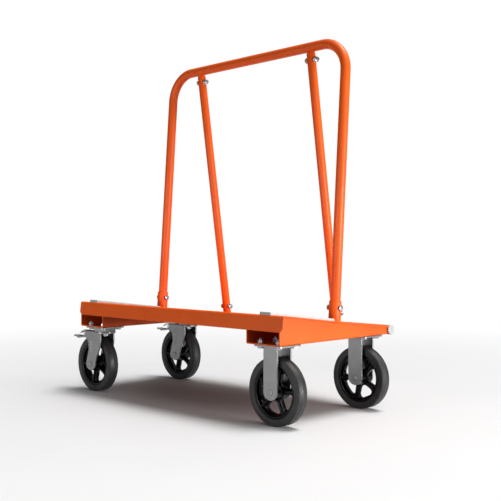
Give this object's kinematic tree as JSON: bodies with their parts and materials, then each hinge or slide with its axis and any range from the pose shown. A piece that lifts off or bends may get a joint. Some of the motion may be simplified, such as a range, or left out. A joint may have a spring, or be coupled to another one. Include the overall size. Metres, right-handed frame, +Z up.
{
  "type": "panel cart",
  "caption": "Steel panel cart with a sloping deck, a leaning U-shaped upright with rear braces, fixed casters at the right end and braked swivel casters at the left.",
  "frame": {"origin": "on the floor, in the middle of the footprint", "axes": "+X towards the rigid casters, +Y from the front flange to the rear rail, +Z up"},
  "size_m": [1.1396, 0.5534, 1.2207],
  "materials": {
    "paint": "glossy orange powder coat",
    "end_cap": "glossy",
    "pad": "light grey, matte",
    "fastener": "zinc plated",
    "washer": "zinc plated",
    "zinc": "zinc plated, satin",
    "bright": "bright",
    "hub_black": "glossy black",
    "tyre": "moulded rubber"
  },
  "bodies": {
    "frame": {"deck_plate": "paint", "channel_left": "paint", "channel_right": "paint", "rear_rail": "paint", "post_socket_left": "paint", "post_socket_right": "paint", "upright_frame": "paint", "brace_left": "paint", "brace_right": "paint", "brace_upper_spigots": "paint", "brace_lower_spigots": "paint", "rear_rail_cap_left": "end_cap", "rear_rail_cap_right": "end_cap", "deck_pad_left": "pad", "deck_pad_right": "pad", "brace_bolts": "fastener", "brace_nuts": "fastener", "socket_bolts": "fastener", "socket_nuts": "fastener", "caster_bolts": "fastener", "caster_nuts": "fastener", "brace_washers": "washer", "caster_washers": "washer", "rigid_front_fork": "zinc", "rigid_front_axle": "zinc", "rigid_front_bushing": "bright", "rigid_rear_fork": "zinc", "rigid_rear_axle": "zinc", "rigid_rear_bushing": "bright", "swivel_front_top_plate": "zinc", "swivel_front_kingpin": "bright", "swivel_front_balls": "bright", "swivel_rear_top_plate": "zinc", "swivel_rear_kingpin": "bright", "swivel_rear_balls": "bright"},
    "rigid_front_wheel": {"rigid_front_hub": "hub_black", "rigid_front_bearing": "bright", "rigid_front_tyre": "tyre"},
    "rigid_rear_wheel": {"rigid_rear_hub": "hub_black", "rigid_rear_bearing": "bright", "rigid_rear_tyre": "tyre"},
    "swivel_front_yoke": {"swivel_front_yoke": "zinc", "swivel_front_axle": "zinc", "swivel_front_bushing": "bright", "swivel_front_brake_pin": "bright", "swivel_front_brake_spring": "bright"},
    "swivel_front_wheel": {"swivel_front_hub": "hub_black", "swivel_front_bearing": "bright", "swivel_front_tyre": "tyre"},
    "swivel_front_brake": {"swivel_front_brake_pedal": "zinc"},
    "swivel_rear_yoke": {"swivel_rear_yoke": "zinc", "swivel_rear_axle": "zinc", "swivel_rear_bushing": "bright", "swivel_rear_brake_pin": "bright", "swivel_rear_brake_spring": "bright"},
    "swivel_rear_wheel": {"swivel_rear_hub": "hub_black", "swivel_rear_bearing": "bright", "swivel_rear_tyre": "tyre"},
    "swivel_rear_brake": {"swivel_rear_brake_pedal": "zinc"}
  },
  "joints": [
    {"name": "rigid_front_spin", "type": "hinge", "parent": "frame", "child": "rigid_front_wheel", "pos_m": [0.4682, -0.2277, 0.1016], "axis": [0, 1, 0], "continuous": true},
    {"name": "rigid_rear_spin", "type": "hinge", "parent": "frame", "child": "rigid_rear_wheel", "pos_m": [0.4682, 0.1753, 0.1016], "axis": [0, 1, 0], "continuous": true},
    {"name": "swivel_front_swivel", "type": "hinge", "parent": "frame", "child": "swivel_front_yoke", "pos_m": [-0.3908, -0.2277, 0.23], "axis": [0, 0, 1], "continuous": true},
    {"name": "swivel_front_spin", "type": "hinge", "parent": "swivel_front_yoke", "child": "swivel_front_wheel", "pos_m": [-0.4358, -0.2277, 0.1016], "axis": [0, 1, 0], "continuous": true},
    {"name": "swivel_front_brake_press", "type": "hinge", "parent": "swivel_front_yoke", "child": "swivel_front_brake", "pos_m": [-0.4878, -0.2277, 0.21], "axis": [0, -1, 0], "range_deg": [0, 13.8]},
    {"name": "swivel_rear_swivel", "type": "hinge", "parent": "frame", "child": "swivel_rear_yoke", "pos_m": [-0.3908, 0.1753, 0.23], "axis": [0, 0, 1], "continuous": true},
    {"name": "swivel_rear_spin", "type": "hinge", "parent": "swivel_rear_yoke", "child": "swivel_rear_wheel", "pos_m": [-0.4358, 0.1753, 0.1016], "axis": [0, 1, 0], "continuous": true},
    {"name": "swivel_rear_brake_press", "type": "hinge", "parent": "swivel_rear_yoke", "child": "swivel_rear_brake", "pos_m": [-0.4878, 0.1753, 0.21], "axis": [0, -1, 0], "range_deg": [0, 13.8]}
  ]
}
